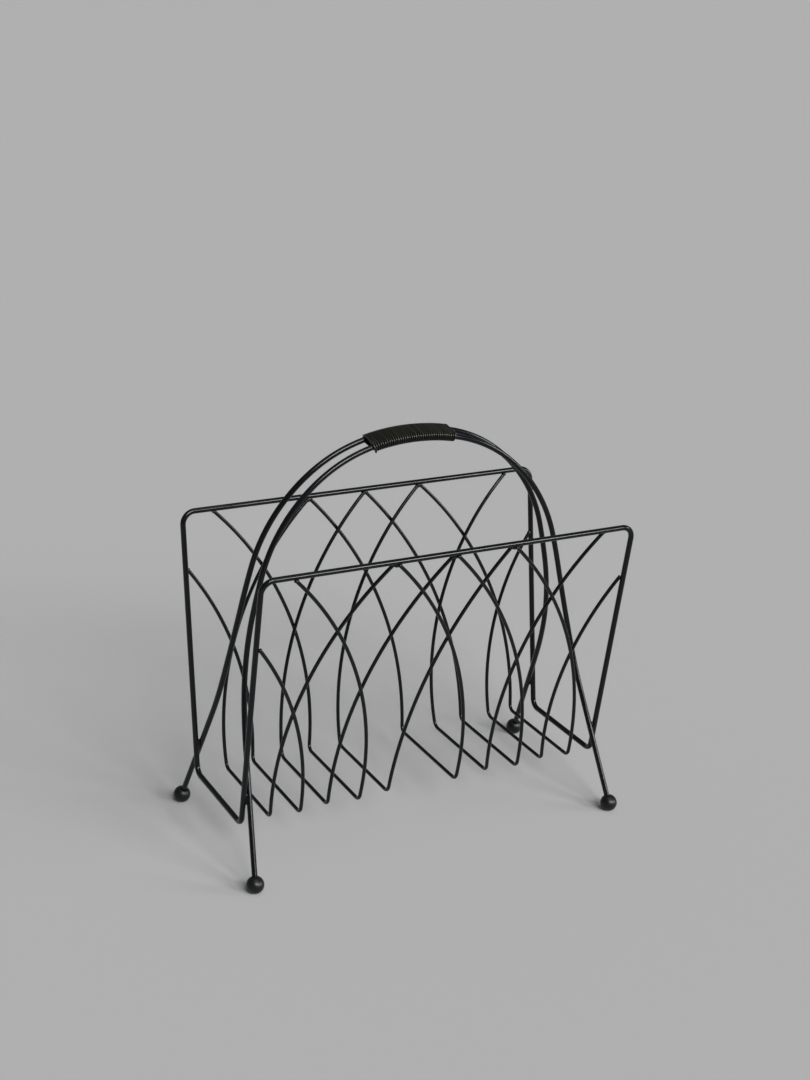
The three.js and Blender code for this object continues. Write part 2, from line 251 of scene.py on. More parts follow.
class FinishColours(bpy.types.PropertyGroup):
    """Colours of the basket's finishes"""

    paint: colour_property(
        "Paint", "Colour of the dipped paint on all wires", (0.0015, 0.0016, 0.002)
    )
    ball: colour_property("Ball", "Colour of the ball feet", (0.003, 0.003, 0.0032))
    cord: colour_property("Cord", "Colour of the grip's cord", (0.018, 0.0172, 0.0115))
    dust: colour_property("Dust", "Colour of the dust that settles on top", (0.16, 0.165, 0.17))


class StageSettings(bpy.types.PropertyGroup):
    """The floor, the surround and the camera's lens"""

    floor: colour_property("Floor", "Colour of the plain floor", (0.46, 0.46, 0.457))
    surround: colour_property(
        "Surround", "Colour of the soft light from all round", (0.16, 0.163, 0.168)
    )
    lens: bpy.props.FloatProperty(
        name="Lens",
        description="Focal length of the camera in millimetres",
        default=59.26,
        min=10,
        unit="CAMERA",
    )


# Node trees


def place_node(tree, kind, inputs=None, **settings):
    """Adds a node, sets it, and links or fills the inputs that are given by name or number."""
    node = tree.nodes.new(kind)
    for setting, value in settings.items():
        setattr(node, setting, value)
    for key, value in (inputs or {}).items():
        if isinstance(value, bpy.types.NodeSocket):
            tree.links.new(value, node.inputs[key])
        else:
            node.inputs[key].default_value = value
    return node


def new_tree(name, kind, inputs, outputs):
    """An empty node group with named inputs and outputs, and what its input node gives."""
    tree = bpy.data.node_groups.new(name, kind)
    for label, socket_type, value in inputs:
        socket = tree.interface.new_socket(label, in_out="INPUT", socket_type=socket_type)
        if value is not None:
            socket.default_value = value
    for label, socket_type in outputs:
        tree.interface.new_socket(label, in_out="OUTPUT", socket_type=socket_type)
    return tree, tree.nodes.new("NodeGroupInput").outputs


def close_shape_tree(tree, geometry, material):
    """Ends a geometry tree: real geometry with its material set."""
    real = place_node(tree, "GeometryNodeRealizeInstances", {"Geometry": geometry})
    painted = place_node(
        tree,
        "GeometryNodeSetMaterial",
        {"Geometry": real.outputs["Geometry"], "Material": material},
    )
    place_node(tree, "NodeGroupOutput", {0: painted.outputs["Geometry"]})


def math_node(tree, operation, first, second=0.0, third=None):
    """The number that a Math node gives."""
    inputs = {0: first, 1: second}
    if third is not None:
        inputs[2] = third
    return place_node(tree, "ShaderNodeMath", inputs, operation=operation).outputs[0]


def vector_node(tree, operation, first, second=None, scale=None):
    """The vector that a Vector Math node gives."""
    inputs = {0: first}
    if second is not None:
        inputs[1] = second
    if scale is not None:
        inputs[3] = scale
    return place_node(tree, "ShaderNodeVectorMath", inputs, operation=operation).outputs[0]


def ramp(tree, value, low, high, start, end):
    """A clamped straight ramp from start at low to end at high."""
    node = place_node(
        tree,
        "ShaderNodeMapRange",
        {0: value, 1: low, 2: high, 3: start, 4: end},
        clamp=True,
    )
    return node.outputs[0]


def stored(tree, geometry, name, value):
    """The geometry with a number kept on each of its points."""
    return place_node(
        tree,
        "GeometryNodeStoreNamedAttribute",
        {"Geometry": geometry, "Name": name, "Value": value},
        data_type="FLOAT",
        domain="POINT",
    ).outputs["Geometry"]


def noise_field(tree, place, scale, detail):
    """Soft noise in space, from 0 to 1."""
    return place_node(
        tree, "ShaderNodeTexNoise", {"Vector": place, "Scale": scale, "Detail": detail}
    ).outputs[0]


def facing_up(tree):
    """How far a shaded surface faces up, from -1 to 1."""
    normal = tree.nodes.new("ShaderNodeNewGeometry").outputs["Normal"]
    return place_node(tree, "ShaderNodeSeparateXYZ", {0: normal}).outputs["Z"]


def round_bar_tree():
    """A round bar with closed ends along a curve."""
    name = "Round Bar"
    if name in bpy.data.node_groups:
        return bpy.data.node_groups[name]
    tree, given = new_tree(
        name,
        "GeometryNodeTree",
        [
            ("Centre Line", "NodeSocketGeometry", None),
            ("Radius", "NodeSocketFloat", 3 * MM),
            ("Sides", "NodeSocketInt", 16),
            ("Material", "NodeSocketMaterial", None),
        ],
        [("Bar", "NodeSocketGeometry")],
    )
    section = place_node(
        tree,
        "GeometryNodeCurvePrimitiveCircle",
        {"Resolution": given["Sides"], "Radius": given["Radius"]},
    )
    bar = place_node(
        tree,
        "GeometryNodeCurveToMesh",
        {
            "Curve": given["Centre Line"],
            "Profile Curve": section.outputs["Curve"],
            "Fill Caps": True,
        },
    )
    close_shape_tree(tree, bar.outputs["Mesh"], given["Material"])
    return tree


def weld_bead_tree():
    """A lump of weld on each point, lying along one direction and facing another."""
    name = "Weld Beads"
    if name in bpy.data.node_groups:
        return bpy.data.node_groups[name]
    tree, given = new_tree(
        name,
        "GeometryNodeTree",
        [
            ("Joints", "NodeSocketGeometry", None),
            ("Unevenness", "NodeSocketFloat", 0.3 * MM),
            ("Material", "NodeSocketMaterial", None),
        ],
        [("Beads", "NodeSocketGeometry")],
    )

    def joint_vector(label):
        """One of the vectors that each joint carries."""
        return place_node(
            tree, "GeometryNodeInputNamedAttribute", {"Name": label}, data_type="FLOAT_VECTOR"
        ).outputs["Attribute"]

    lump = place_node(tree, "GeometryNodeMeshIcoSphere", {"Radius": 1.0, "Subdivisions": 3})
    turned = place_node(
        tree,
        "FunctionNodeAxesToRotation",
        {0: joint_vector("along"), 1: joint_vector("facing")},
        primary_axis="X",
        secondary_axis="Z",
    )
    lumps = place_node(
        tree,
        "GeometryNodeInstanceOnPoints",
        {
            "Points": given["Joints"],
            "Instance": lump.outputs["Mesh"],
            "Rotation": turned.outputs["Rotation"],
            "Scale": joint_vector("half_size"),
        },
    )
    real = place_node(
        tree, "GeometryNodeRealizeInstances", {"Geometry": lumps.outputs["Instances"]}
    )
    place = place_node(tree, "GeometryNodeInputPosition").outputs[0]
    height = math_node(
        tree,
        "MULTIPLY",
        math_node(tree, "SUBTRACT", noise_field(tree, place, RIPPLE_SCALE, 2.0), 0.5),
        math_node(tree, "MULTIPLY", given["Unevenness"], 2.0),
    )
    outward = place_node(tree, "GeometryNodeInputNormal").outputs[0]
    uneven = place_node(
        tree,
        "GeometryNodeSetPosition",
        {
            "Geometry": real.outputs["Geometry"],
            "Offset": vector_node(tree, "SCALE", outward, scale=height),
        },
    )
    close_shape_tree(tree, uneven.outputs["Geometry"], given["Material"])
    return tree


def cord_winding_tree():
    """One oval cord wound close round two hoop wires, which come as the curve's two splines."""
    name = "Cord Winding"
    if name in bpy.data.node_groups:
        return bpy.data.node_groups[name]
    tree, given = new_tree(
        name,
        "GeometryNodeTree",
        [
            ("Hoop Lines", "NodeSocketGeometry", None),
            ("Wire Radius", "NodeSocketFloat", 3 * MM),
            ("Cord Radius", "NodeSocketFloat", 1.1 * MM),
            ("Cord Depth", "NodeSocketFloat", 1.0),
            ("Clearance", "NodeSocketFloat", 0.0),
            ("Length", "NodeSocketFloat", 100 * MM),
            ("Shift", "NodeSocketFloat", 0.0),
            ("Tail", "NodeSocketFloat", 3 * MM),
            ("Hoop Length", "NodeSocketFloat", 1.0),
            ("Wire Gap", "NodeSocketFloat", 19 * MM),
            ("Turns", "NodeSocketInt", 45),
            ("Steps", "NodeSocketInt", 40),
            ("Material", "NodeSocketMaterial", None),
        ],
        [("Cord", "NodeSocketGeometry")],
    )

    # How far along the hoops the cord has come, with its cut end leaning out of the first turn
    steps = math_node(tree, "MULTIPLY", given["Turns"], given["Steps"])
    count = math_node(tree, "ADD", steps, 1.0)
    line = place_node(
        tree, "GeometryNodeCurvePrimitiveLine", {"Start": (0, 0, 0), "End": (1, 0, 0)}
    )
    path = place_node(
        tree, "GeometryNodeResampleCurve", {"Curve": line.outputs["Curve"], "Count": count}
    )
    index = place_node(tree, "GeometryNodeInputIndex").outputs[0]
    advance = math_node(tree, "DIVIDE", index, steps)
    run = math_node(
        tree, "SUBTRACT", given["Length"], math_node(tree, "MULTIPLY", given["Cord Radius"], 2.0)
    )
    reach = math_node(
        tree, "MULTIPLY_ADD", math_node(tree, "SUBTRACT", advance, 0.5), run, given["Shift"]
    )
    loose = ramp(tree, index, 0.0, TAIL_STEPS, 1.0, 0.0)
    tail = math_node(tree, "MULTIPLY", loose, given["Tail"])
    reach = math_node(tree, "MULTIPLY_ADD", tail, TAIL_LEAN, reach)
    share = math_node(
        tree, "ADD", math_node(tree, "DIVIDE", reach, given["Hoop Length"]), 0.5
    )

    def hoop_at(spline):
        """The place and the direction on one hoop's line."""
        return place_node(
            tree,
            "GeometryNodeSampleCurve",
            {"Curves": given["Hoop Lines"], "Factor": share, "Curve Index": spline},
            mode="FACTOR",
            use_all_curves=False,
        ).outputs

    front, back = hoop_at(0), hoop_at(1)
    both = vector_node(tree, "ADD", front["Position"], back["Position"])
    middle = vector_node(tree, "SCALE", both, scale=0.5)
    span = vector_node(tree, "SUBTRACT", back["Position"], front["Position"])
    across = vector_node(tree, "SCALE", span, scale=0.5)
    aside = vector_node(tree, "NORMALIZE", across)
    upward = vector_node(
        tree, "NORMALIZE", vector_node(tree, "CROSS_PRODUCT", front["Tangent"], aside)
    )

    # Round both wires: straight over the top, half round one, straight below, half round the other
    deep = math_node(tree, "MULTIPLY", given["Cord Radius"], given["Cord Depth"])
    lift = math_node(tree, "ADD", given["Wire Radius"], given["Clearance"])
    lift = math_node(tree, "ADD", lift, deep)
    bend = math_node(tree, "MULTIPLY", lift, math.pi)
    half_turn = math_node(tree, "ADD", given["Wire Gap"], bend)
    straight = math_node(tree, "DIVIDE", given["Wire Gap"], half_turn)
    straight = math_node(tree, "MULTIPLY", straight, 0.5)
    lower = math_node(tree, "ADD", straight, 0.5)
    turns_done = math_node(tree, "DIVIDE", index, given["Steps"])
    turn = math_node(tree, "FRACT", math_node(tree, "ADD", turns_done, lower))
    shift = math_node(
        tree,
        "ADD",
        ramp(tree, turn, 0.0, straight, -1.0, 1.0),
        ramp(tree, turn, 0.5, lower, 0.0, -2.0),
    )
    angle = math_node(
        tree,
        "ADD",
        ramp(tree, turn, straight, 0.5, 0.0, math.pi),
        ramp(tree, turn, lower, 1.0, 0.0, math.pi),
    )
    lift = math_node(tree, "ADD", lift, tail)
    outward = vector_node(
        tree,
        "ADD",
        vector_node(tree, "SCALE", upward, scale=math_node(tree, "COSINE", angle)),
        vector_node(tree, "SCALE", aside, scale=math_node(tree, "SINE", angle)),
    )
    place = vector_node(tree, "ADD", middle, vector_node(tree, "SCALE", across, scale=shift))
    place = vector_node(tree, "ADD", place, vector_node(tree, "SCALE", outward, scale=lift))
    facing = place_node(
        tree,
        "GeometryNodeSetCurveNormal",
        {"Curve": stored(tree, path.outputs["Curve"], "turn", turns_done), "Normal": outward},
        mode="FREE",
    )
    wound = place_node(
        tree, "GeometryNodeSetPosition", {"Geometry": facing.outputs["Curve"], "Position": place}
    )

    # The oval section, whose crest faces out of the winding
    section = place_node(
        tree,
        "GeometryNodeCurvePrimitiveCircle",
        {"Resolution": CORD_SIDES, "Radius": given["Cord Radius"]},
    )
    stretch = place_node(
        tree, "ShaderNodeCombineXYZ", {"X": given["Cord Depth"], "Y": 1.0, "Z": 1.0}
    )
    section = place_node(
        tree,
        "GeometryNodeTransform",
        {"Geometry": section.outputs["Curve"], "Scale": stretch.outputs[0]},
    )
    height = place_node(
        tree,
        "ShaderNodeSeparateXYZ",
        {0: place_node(tree, "GeometryNodeInputPosition").outputs[0]},
    ).outputs["X"]
    crest = math_node(tree, "DIVIDE", height, deep)
    cord = place_node(
        tree,
        "GeometryNodeCurveToMesh",
        {
            "Curve": wound.outputs["Geometry"],
            "Profile Curve": stored(tree, section.outputs["Geometry"], "crest", crest),
            "Fill Caps": True,
        },
    )
    close_shape_tree(tree, cord.outputs["Mesh"], given["Material"])
    return tree


def bake_tree(name, holder, tree, values):
    """Runs a geometry tree on a holder, and keeps what it makes as a plain mesh object."""
    modifier = holder.modifiers.new(tree.name, "NODES")
    modifier.node_group = tree
    for item in tree.interface.items_tree:
        if item.in_out == "INPUT" and item.name in values:
            modifier[item.identifier] = values[item.name]
    evaluated = holder.evaluated_get(bpy.context.evaluated_depsgraph_get())
    mesh = bpy.data.meshes.new_from_object(evaluated)
    bpy.data.objects.remove(holder)
    mesh.name = name
    mesh.shade_smooth()
    mesh.set_sharp_from_angle(angle=BAR_CREASE)
    piece = bpy.data.objects.new(name, mesh)
    bpy.context.scene.collection.objects.link(piece)
    return piece


# Finishes


def surface_variation_group():
    """Slow colour drift, roughness drift and fine relief of a coated or moulded surface."""
    name = "Surface Variation"
    if name in bpy.data.node_groups:
        return bpy.data.node_groups[name]
    tree, given = new_tree(
        name,
        "ShaderNodeTree",
        [
            ("Colour", "NodeSocketColor", (0.01, 0.01, 0.01, 1)),
            ("Colour Drift", "NodeSocketFloat", 0.3),
            ("Roughness", "NodeSocketFloat", 0.35),
            ("Roughness Drift", "NodeSocketFloat", 0.1),
            ("Drift Scale", "NodeSocketFloat", 60.0),
            ("Relief Scale", "NodeSocketFloat", 900.0),
        ],
        [
            ("Colour", "NodeSocketColor"),
            ("Roughness", "NodeSocketFloat"),
            ("Height", "NodeSocketFloat"),
        ],
    )
    place = tree.nodes.new("ShaderNodeTexCoord").outputs["Object"]
    drift = noise_field(tree, place, given["Drift Scale"], 4.0)
    relief = noise_field(tree, place, given["Relief Scale"], 2.0)
    swing = math_node(tree, "MULTIPLY_ADD", drift, 2.0, -1.0)
    brightness = math_node(tree, "MULTIPLY_ADD", swing, given["Colour Drift"], 1.0)
    colour = vector_node(tree, "SCALE", given["Colour"], scale=brightness)
    roughness = math_node(
        tree, "MULTIPLY_ADD", swing, given["Roughness Drift"], given["Roughness"]
    )
    place_node(tree, "NodeGroupOutput", {0: colour, 1: roughness, 2: relief})
    return tree


def settled_dust_group():
    """Fine dust on what faces up: a colour and a roughness with the dust laid over them."""
    name = "Settled Dust"
    if name in bpy.data.node_groups:
        return bpy.data.node_groups[name]
    tree, given = new_tree(
        name,
        "ShaderNodeTree",
        [
            ("Colour", "NodeSocketColor", (0.01, 0.01, 0.01, 1)),
            ("Roughness", "NodeSocketFloat", 0.35),
            ("Dust Colour", "NodeSocketColor", (0.2, 0.2, 0.2, 1)),
            ("Amount", "NodeSocketFloat", 0.1),
            ("Speck Scale", "NodeSocketFloat", 300.0),
        ],
        [("Colour", "NodeSocketColor"), ("Roughness", "NodeSocketFloat")],
    )
    place = tree.nodes.new("ShaderNodeTexCoord").outputs["Object"]
    lies = ramp(tree, facing_up(tree), *DUST_SLOPE)
    specks = noise_field(tree, place, given["Speck Scale"], 3.0)
    patchy = ramp(tree, specks, *DUST_PATCHES)
    mask = math_node(
        tree, "MULTIPLY", math_node(tree, "MULTIPLY", lies, patchy), given["Amount"]
    )
    colour = place_node(
        tree,
        "ShaderNodeMix",
        {0: mask, 6: given["Colour"], 7: given["Dust Colour"]},
        data_type="RGBA",
    ).outputs[2]
    roughness = math_node(
        tree,
        "MULTIPLY_ADD",
        mask,
        math_node(tree, "SUBTRACT", DUST_ROUGHNESS, given["Roughness"]),
        given["Roughness"],
    )
    place_node(tree, "NodeGroupOutput", {0: colour, 1: roughness})
    return tree


def opaque(colour):
    """A colour with full alpha, as colour sockets take it."""
    return (*colour, 1)


def coated_material(name, colour, variation, dust, relief, constants):
    """A dark coated or moulded surface with drift, relief and dust from the shared groups."""
    if name in bpy.data.materials:
        return bpy.data.materials[name]
    material = bpy.data.materials.new(name)
    material.use_nodes = True
    tree = material.node_tree
    shader = tree.nodes["Principled BSDF"]
    for label, value in constants.items():
        shader.inputs[label].default_value = value
    varied = place_node(
        tree,
        "ShaderNodeGroup",
        {"Colour": opaque(colour), **variation},
        node_tree=surface_variation_group(),
    )
    dusty = place_node(
        tree,
        "ShaderNodeGroup",
        {
            "Colour": varied.outputs["Colour"],
            "Roughness": varied.outputs["Roughness"],
            "Dust Colour": opaque(bpy.context.scene.basket_finish.dust),
            **dust,
        },
        node_tree=settled_dust_group(),
    )
    bump = place_node(tree, "ShaderNodeBump", {"Height": varied.outputs["Height"], **relief})
    tree.links.new(dusty.outputs["Colour"], shader.inputs["Base Color"])
    tree.links.new(dusty.outputs["Roughness"], shader.inputs["Roughness"])
    tree.links.new(bump.outputs["Normal"], shader.inputs["Normal"])
    return material


def dipped_paint():
    """Semi-gloss black paint, dipped and stoved on wire."""
    return coated_material(
        "Dipped Black Paint",
        bpy.context.scene.basket_finish.paint,
        {
            "Colour Drift": 0.25,
            "Roughness": 0.17,
            "Roughness Drift": 0.05,
            "Drift Scale": 45.0,
            "Relief Scale": 300.0,
        },
        {"Amount": 0.012, "Speck Scale": 260.0},
        {"Strength": 0.06, "Distance": 0.1 * MM},
        # the specular tint paints a bluish cast into the paint's reflections
        {"Specular IOR Level": 0.33, "Specular Tint": PAINTED_COOL_REFLECTION_TINT},
    )


def ball_gloss():
    """Black moulded ball with a faint dull bloom."""
    return coated_material(
        "Black Ball",
        bpy.context.scene.basket_finish.ball,
        {
            "Colour Drift": 0.3,
            "Roughness": 0.36,
            "Roughness Drift": 0.08,
            "Drift Scale": 110.0,
            "Relief Scale": 500.0,
        },
        {"Amount": 0.03, "Speck Scale": 420.0},
        {"Strength": 0.2, "Distance": 0.12 * MM},
        # the specular tint paints a bluish cast into the ball's reflections
        {"Specular IOR Level": 0.36, "Specular Tint": PAINTED_COOL_REFLECTION_TINT},
    )


def grip_cord():
    """Dark olive cord with a hard, shiny skin: streaky, with painted shade in its grooves and
    underneath.
    """
    name = "Dark Olive Cord"
    if name in bpy.data.materials:
        return bpy.data.materials[name]
    material = coated_material(
        name,
        bpy.context.scene.basket_finish.cord,
        {
            "Colour Drift": 0.5,
            "Roughness": 0.17,
            "Roughness Drift": 0.08,
            "Drift Scale": 190.0,
            "Relief Scale": 1500.0,
        },
        {"Amount": 0.02, "Speck Scale": 600.0},
        {"Strength": 0.2, "Distance": 0.1 * MM},
        {"Specular IOR Level": 0.28},
    )
    tree = material.node_tree
    base_colour = tree.nodes["Principled BSDF"].inputs["Base Color"]
    # Painted shade in the grooves between the turns, darker the further from a turn's crest
    crest = place_node(tree, "ShaderNodeAttribute", attribute_name="crest").outputs["Fac"]
    groove_shade = ramp(tree, crest, *GROOVE_PAINTED_SHADE)
    turn = place_node(tree, "ShaderNodeAttribute", attribute_name="turn").outputs["Fac"]
    noise = place_node(
        tree,
        "ShaderNodeTexNoise",
        {"W": turn, "Scale": STREAKS_PER_TURN, "Detail": 2.0},
        noise_dimensions="1D",
    )
    streaks = ramp(tree, noise.outputs[0], *TURN_STREAKS)
    # Painted shade on the cord's underside, darker where it faces down
    painted_underside_shade = ramp(tree, facing_up(tree), *UNDERSIDE_SHADE)
    # The streaky tone of the turns, times the painted shade
    shade = math_node(tree, "MULTIPLY", math_node(tree, "MULTIPLY", groove_shade, streaks), painted_underside_shade)
    streaked_and_shaded = vector_node(tree, "SCALE", base_colour.links[0].from_socket, scale=shade)
    tree.links.new(streaked_and_shaded, base_colour)
    return material


# Centre lines


def merged_node(node):
    """A CAD node's mesh with its loose triangles joined."""
    shape = bmesh.new()
    shape.from_mesh(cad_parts[node].data)
    bmesh.ops.remove_doubles(shape, verts=shape.verts, dist=SAME_CORNER)
    return shape


def middle_of(corners):
    """The mean place of some corners."""
    return sum((corner.co for corner in corners), Vector()) / len(corners)


def flat_end(shape, radius):
    """A wire's cut end: the corners of a face that all lie one radius from its middle."""
    for face in shape.faces:
        centre = middle_of(face.verts)
        if len(face.verts) >= FEWEST_SIDES and all(
            abs((corner.co - centre).length - radius) < SAME_RADIUS for corner in face.verts
        ):
            return set(face.verts)
    raise RuntimeError("a wire node has no cut end")


def rings_from(first):
    """Walks a swept wire ring by ring from its first ring of corners."""
    rings, seen, ring = [first], set(first), first
    while True:
        ring = {
            edge.other_vert(corner)
            for corner in ring
            for edge in corner.link_edges
            if edge.other_vert(corner) not in seen
        }
        if not ring:
            return rings
        seen |= ring
        rings.append(ring)


def ring_place(ring):
    """A ring's middle, and a direction square to it."""
    # in a set order, so that each run adds up alike to the last digit
    corners = sorted(ring, key=lambda corner: corner.co[:])
    centre = middle_of(corners)
    spoke = corners[0].co - centre
    other = max(corners, key=lambda corner: spoke.cross(corner.co - centre).length)
    return centre, spoke.cross(other.co - centre).normalized()


def centre_line(rings):
    """The middle and the direction of travel at each ring."""
    places = [ring_place(ring) for ring in rings]
    line = []
    for number, (centre, normal) in enumerate(places):
        before = places[max(number - 1, 0)][0]
        after = places[min(number + 1, len(places) - 1)][0]
        line.append((centre, normal if normal.dot(after - before) > 0 else -normal))
    return line


def wire_line(node, radius):
    """The centre line of an open wire, from one cut end to the other."""
    shape = merged_node(node)
    bmesh.ops.dissolve_limit(
        shape, angle_limit=STRAIGHT_TURN, verts=shape.verts, edges=shape.edges
    )
    line = centre_line(rings_from(flat_end(shape, radius)))
    shape.free()
    return line


def rim_line():
    """The rim frame's line, from one side of its butt weld round to the other."""
    shape = merged_node("rim_frame")
    weld = [
        corner
        for corner in shape.verts
        if corner.co.x < BUTT_WELD_X and abs(corner.co.y) < BUTT_WELD_HALF_WIDTH
    ]
    bmesh.ops.delete(shape, geom=weld, context="VERTS")
    first = {corner for corner in shape.verts if corner.is_boundary and corner.co.y > 0}
    line = centre_line(rings_from(first))
    shape.free()
    return line


def line_handles(line, closed):
    """For each ring, the two handles that carry a smooth curve through it."""
    count = len(line)
    reach = []
    for number in range(count if closed else count - 1):
        (start, into), (end, out) = line[number], line[(number + 1) % count]
        turn = into.angle(out)
        # with this reach the curve follows an arc of the same turn
        reach.append((end - start).length / (3 * math.cos(turn / 4) ** 2))
    handles = []
    for number, (centre, way) in enumerate(line):
        before = reach[number - 1] if closed or number > 0 else reach[0]
        after = reach[number] if number < len(reach) else reach[-1]
        handles.append((centre - way * before, centre + way * after))
    return handles


def curve_holder(name, lines, steps, closed=False):
    """A curve object with one smooth spline for each line."""
    curve = bpy.data.curves.new(name, "CURVE")
    curve.dimensions = "3D"
    for line in lines:
        spline = curve.splines.new("BEZIER")
        spline.bezier_points.add(len(line) - 1)
        spline.use_cyclic_u = closed
        spline.resolution_u = steps
        handles = line_handles(line, closed)
        for point, (centre, _), (left, right) in zip(spline.bezier_points, line, handles):
            point.handle_left_type = point.handle_right_type = "FREE"
            point.co, point.handle_left, point.handle_right = centre, left, right
    holder = bpy.data.objects.new(name, curve)
    bpy.context.scene.collection.objects.link(holder)
    return holder


def lengthened(line, extra):
    """The line with both its ends carried on straight."""
    (first, into), (last, out) = line[0], line[-1]
    return [(first - into * extra, into), *line[1:-1], (last + out * extra, out)]


def fine_points(line, count=WIRE_POINTS):
    """Closely spaced points along a line, with the direction at each."""
    handles = line_handles(line, False)
    points = []
    for number in range(len(line) - 1):
        run = interpolate_bezier(
            line[number][0], handles[number][1], handles[number + 1][0], line[number + 1][0], count
        )
        points += [(here, (ahead - here).normalized()) for here, ahead in zip(run, run[1:])]
    return [*points, line[-1]]


def line_length(line, steps):
    """The length of a line's curve, measured over the given steps from ring to ring."""
    points = fine_points(line, steps + 1)
    return sum((after[0] - before[0]).length for before, after in zip(points, points[1:]))


def nearest_pair(one, other):
    """Where two lines of fine points pass closest: a point and a direction on each."""
    return min(
        ((first, second) for first in one for second in other),
        key=lambda pair: (pair[0][0] - pair[1][0]).length_squared,
    )


def closest_points(first, second):
    """The closest points of two straight runs through the given places."""
    return intersect_line_line(
        first[0], first[0] + first[1], second[0], second[0] + second[1]
    )


def joint_between(first, second, bead):
    """A bead midway between two straight runs, lying along both as they rise."""
    on_first, on_second = closest_points(first, second)
    along = sum((way * math.copysign(1, way.z) for _, way in (first, second)), Vector())
    return (on_first + on_second) / 2, along, on_second - on_first, bead


def end_joints(lines, rim_points, sink, bead):
    """A bead at each end of each basket wire, on the rim."""
    joints = []
    for line in lines:
        for end, way in ((line[0][0], -line[0][1]), (line[-1][0], line[-1][1])):
            _, (seat, bar_way) = nearest_pair([(end, way)], rim_points)
            joints.append((end + way * sink, bar_way, seat - end, bead))
    return joints


def pair_joints(ends, bead):
    """A bead in the corner between each two wire ends that lie side by side."""
    return [
        ((place + other) / 2, bar_way, facing + other_facing, bead)
        for (place, bar_way, facing, _), (other, _, other_facing, _) in combinations(ends, 2)
        if (other - place).length < PAIR_REACH
    ]


def crossing_joints(wires, bead):
    """A bead at each place on a panel where two basket wires cross."""
    fine = {node: fine_points(line) for node, line in wires.items()}
    joints = []
    for odd in BASKET_WIRES[::2]:
        for even in BASKET_WIRES[1::2]:
            for side in (-1, 1):
                runs = [
                    [place for place in fine[node] if place[0].y * side > PANEL_Y]
                    for node in (odd, even)
                ]
                first, second = nearest_pair(*runs)
                on_first, on_second = closest_points(first, second)
                gap, shift = (on_second - on_first).length, (on_first - first[0]).length
                if gap < CROSSING_GAP and shift < CROSSING_SHIFT:
                    joints.append(joint_between(first, second, bead))
    return joints


def hoop_joints(radius, rim_points, bead):
    """A bead between each leg of a hoop and the upright that it passes."""
    joints = []
    for node in HOOPS:
        hoop = fine_points(wire_line(node, radius), HOOP_POINTS)
        for end in (-1, 1):
            leg = [place for place in hoop if place[0].x * end > 0 and place[0].z < LEG_TOP]
            beside = [
                place
                for place in rim_points
                if place[0].x * end > 0 and place[0].y * leg[0][0].y > 0
            ]
            joints.append(joint_between(*nearest_pair(leg, beside), bead))
    return joints


def finish_piece(piece, slot, *nodes):
    """Seats a piece on the body, in place of its CAD nodes; the slot is not used."""
    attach(piece, "root")
    if nodes:
        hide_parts(*nodes)


def bar_along(name, line, radius, sides, closed=False):
    """A smooth painted bar along a line."""
    steps = bpy.context.scene.basket_bars.bend_steps
    holder = curve_holder(name, [line], steps, closed)
    return bake_tree(
        name,
        holder,
        round_bar_tree(),
        {"Radius": radius, "Sides": sides, "Material": dipped_paint()},
    )


def ball_profile(radius, bore, lip, rings):
    """A ball's outline, from the middle of its bore over the lip and round to the far pole."""
    mouth = bore + lip
    mouth_height = math.sqrt(radius**2 - mouth**2)
    profile = [(0, -lip), (bore, -lip)]
    for out, below in LIP_SHARES:
        profile.append((bore + lip * out, mouth_height - lip * below))
    start = math.asin(mouth / radius)
    for ring in range(rings + 1):
        turn = start + (math.pi - start) * ring / rings
        profile.append((radius * math.sin(turn), radius * math.cos(turn)))
    return profile


# Operators


class BASKET_OT_rim_frame(bpy.types.Operator):
    """Draws the rim frame as one smooth painted wire"""

    bl_idname = "basket.rim_frame"
    bl_label = "Rim Frame"

    def execute(self, context):
        bars = context.scene.basket_bars
        piece = bar_along(
            "painted_rim_frame", rim_line(), bars.frame_radius, bars.frame_sides, closed=True
        )
        finish_piece(piece, "painted_wire", "rim_frame")
        return {"FINISHED"}


class BASKET_OT_basket_wires(bpy.types.Operator):
    """Draws the ten basket wires, their ends sunk into the wires that carry them"""

    bl_idname = "basket.basket_wires"
    bl_label = "Basket Wires"

    def execute(self, context):
        bars = context.scene.basket_bars
        for node in BASKET_WIRES:
            line = lengthened(wire_line(node, bars.basket_radius), bars.end_sink)
            piece = bar_along(f"painted_{node}", line, bars.basket_radius, bars.basket_sides)
            finish_piece(piece, "painted_wire", node)
        return {"FINISHED"}


class BASKET_OT_hoops(bpy.types.Operator):
    """Draws the two hoops, from foot to foot"""

    bl_idname = "basket.hoops"
    bl_label = "Hoops"

    def execute(self, context):
        bars = context.scene.basket_bars
        for node in HOOPS:
            line = wire_line(node, bars.frame_radius)
            piece = bar_along(f"painted_{node}", line, bars.frame_radius, bars.frame_sides)
            finish_piece(piece, "painted_wire", node)
        return {"FINISHED"}


